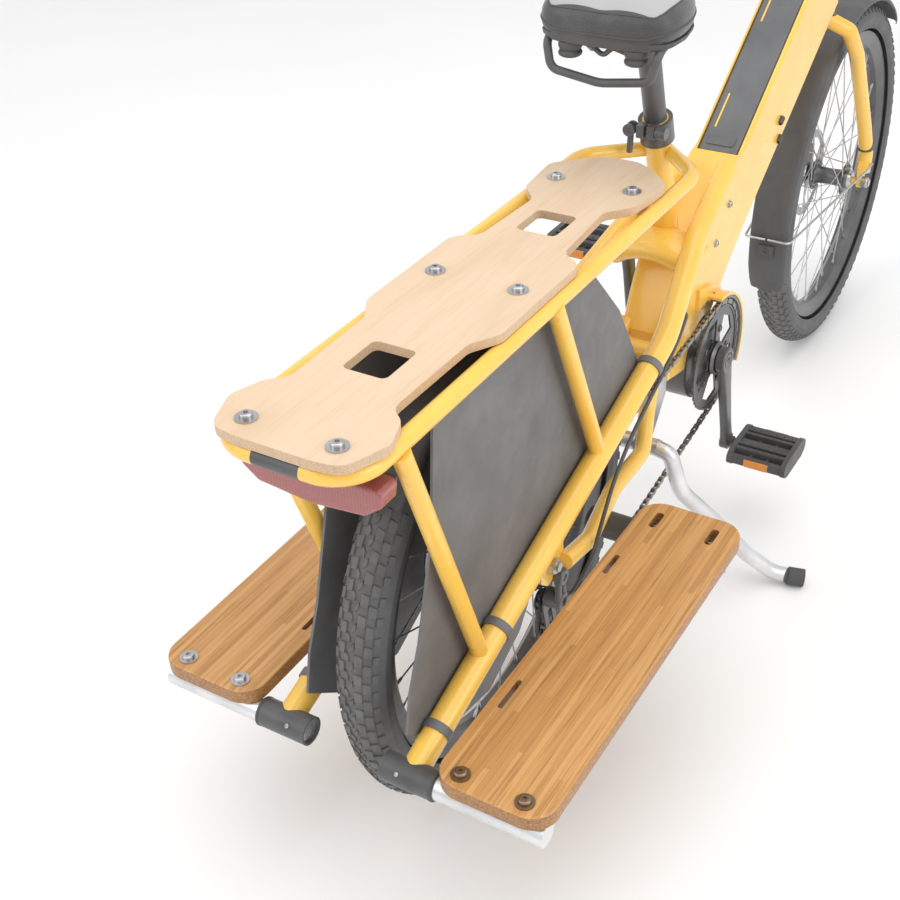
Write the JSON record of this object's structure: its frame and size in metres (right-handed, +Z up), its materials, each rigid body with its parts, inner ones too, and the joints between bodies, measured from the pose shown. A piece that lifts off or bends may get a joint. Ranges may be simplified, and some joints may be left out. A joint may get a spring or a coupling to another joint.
{
  "type": "cargo bicycle",
  "caption": "Short-tail electric cargo bicycle with a plywood rear deck, bamboo running boards, wheel skirts, mid drive, removable battery, disc brakes and a two-leg stand.",
  "frame": {"origin": "on the ground, at the middle of the bicycle's length and width", "axes": "+X forward, +Y to the rider's left, +Z up"},
  "size_m": [1.9254, 0.7112, 1.0704],
  "materials": {
    "frame_paint": "gloss",
    "black_paint": "satin",
    "silver_metal": "satin",
    "steel": "satin",
    "dark_steel": "satin",
    "black_alloy": "satin",
    "tyre_rubber": "matte",
    "grip_rubber": "matte",
    "black_plastic": "satin",
    "skirt_plastic": "satin",
    "battery_plastic": "satin",
    "birch_ply": "satin",
    "bamboo": "satin",
    "red_lens": "gloss",
    "saddle_cover": "matte"
  },
  "bodies": {
    "frame": {"down_tube": "frame_paint", "seat_tube": "frame_paint", "seat_yoke": "frame_paint", "lateral_tubes": "frame_paint", "rear_stays": "frame_paint", "head_tube": "frame_paint", "rack_frame": "frame_paint", "rack_end_plate": "black_paint", "deck": "birch_ply", "deck_bolts": "steel", "running_board_left": "bamboo", "running_board_right": "bamboo", "board_bolts": "steel", "board_bars": "silver_metal", "board_sockets": "black_paint", "skirts": "skirt_plastic", "rear_fender": "black_plastic", "tail_light_lens": "red_lens", "chain": "dark_steel", "derailleur": "black_alloy", "motor_housing": "black_alloy", "chain_guard": "frame_paint", "rear_caliper": "black_alloy", "shift_cable": "black_plastic", "kickstand_bracket": "silver_metal", "seat_clamp": "black_alloy"},
    "battery": {"battery": "battery_plastic"},
    "seat": {"seatpost": "black_alloy", "saddle_base": "black_plastic", "saddle_pad": "saddle_cover", "saddle_rails": "dark_steel"},
    "seat_lever": {"seat_clamp_lever": "black_alloy"},
    "crank": {"chainring": "dark_steel", "crank_arms": "black_alloy"},
    "pedal_left": {"pedal_left": "black_plastic"},
    "pedal_right": {"pedal_right": "black_plastic"},
    "cassette": {"cassette": "steel"},
    "guide_pulley": {"guide_pulley": "black_plastic"},
    "tension_pulley": {"tension_pulley": "black_plastic"},
    "rear_wheel": {"rear_tyre": "tyre_rubber", "rear_rim": "black_alloy", "rear_spokes": "steel", "rear_hub": "dark_steel"},
    "steering": {"fork": "frame_paint", "front_fender": "black_plastic", "fender_stays": "steel", "front_caliper": "black_alloy", "stem": "black_alloy", "handlebar": "black_alloy", "grips": "grip_rubber", "control_bodies": "black_plastic", "headlight": "black_plastic"},
    "front_wheel": {"front_tyre": "tyre_rubber", "front_rim": "black_alloy", "front_spokes": "steel", "front_hub": "dark_steel"},
    "brake_lever_left": {"brake_lever_left": "black_alloy"},
    "brake_lever_right": {"brake_lever_right": "black_alloy"},
    "shift_lever": {"shift_lever": "black_plastic"},
    "stand": {"kickstand": "silver_metal"}
  },
  "joints": [
    {"name": "battery_slide", "type": "slide", "parent": "frame", "child": "battery", "axis": [-0.5561, 0, 0.8311], "range_m": [0, 0.1]},
    {"name": "seatpost_slide", "type": "slide", "parent": "frame", "child": "seat", "axis": [-0.2961, 0, 0.9552], "range_m": [-0.05, 0.08]},
    {"name": "seat_lever_turn", "type": "hinge", "parent": "frame", "child": "seat_lever", "pos_m": [-0.18864, 0.022, 0.691], "axis": [1, 0, 0], "range_deg": [0, 150]},
    {"name": "crank_spin", "type": "hinge", "parent": "frame", "child": "crank", "pos_m": [-0.037, 0, 0.3], "axis": [0, 1, 0], "continuous": true},
    {"name": "pedal_left_spin", "type": "hinge", "parent": "crank", "child": "pedal_left", "pos_m": [-0.07712, 0, 0.46524], "axis": [0, 1, 0], "continuous": true},
    {"name": "pedal_right_spin", "type": "hinge", "parent": "crank", "child": "pedal_right", "pos_m": [0.00312, 0, 0.13476], "axis": [0, 1, 0], "continuous": true},
    {"name": "cassette_spin", "type": "hinge", "parent": "frame", "child": "cassette", "pos_m": [-0.587, 0, 0.31], "axis": [0, 1, 0], "continuous": true},
    {"name": "guide_pulley_spin", "type": "hinge", "parent": "frame", "child": "guide_pulley", "pos_m": [-0.571, 0, 0.236], "axis": [0, 1, 0], "continuous": true},
    {"name": "tension_pulley_spin", "type": "hinge", "parent": "frame", "child": "tension_pulley", "pos_m": [-0.557, 0, 0.168], "axis": [0, 1, 0], "continuous": true},
    {"name": "rear_wheel_spin", "type": "hinge", "parent": "frame", "child": "rear_wheel", "pos_m": [-0.587, 0, 0.31], "axis": [0, 1, 0], "continuous": true},
    {"name": "steer", "type": "hinge", "parent": "frame", "child": "steering", "pos_m": [0.57037, 0, 0.4], "axis": [-0.3579, 0, 0.9338], "range_deg": [-45, 45]},
    {"name": "front_wheel_spin", "type": "hinge", "parent": "steering", "child": "front_wheel", "pos_m": [0.653, 0, 0.31], "axis": [0, 1, 0], "continuous": true},
    {"name": "brake_lever_left_pull", "type": "hinge", "parent": "steering", "child": "brake_lever_left", "pos_m": [0.37022, 0.24773, 1.04826], "axis": [0, 0, 1], "range_deg": [0, 13], "stiffness_Nm_per_rad": 1.5, "springref_deg": -5.73},
    {"name": "brake_lever_right_pull", "type": "hinge", "parent": "steering", "child": "brake_lever_right", "pos_m": [0.37022, -0.24773, 1.04826], "axis": [0, 0, -1], "range_deg": [0, 13], "stiffness_Nm_per_rad": 1.5, "springref_deg": -5.73},
    {"name": "shift_lever_push", "type": "hinge", "parent": "steering", "child": "shift_lever", "pos_m": [0.35357, -0.19071, 1.01971], "axis": [0, 0, -1], "range_deg": [0, 25], "stiffness_Nm_per_rad": 0.3, "springref_deg": -5.73},
    {"name": "stand_fold", "type": "hinge", "parent": "frame", "child": "stand", "pos_m": [-0.235, 0, 0.258], "axis": [0, 1, 0], "range_deg": [0, 95]}
  ],
  "couplings": [
    {"joint": "cassette_spin", "follows": "crank_spin", "ratio": 2.3333},
    {"joint": "guide_pulley_spin", "follows": "crank_spin", "ratio": -3.8182},
    {"joint": "tension_pulley_spin", "follows": "crank_spin", "ratio": 3.8182}
  ]
}
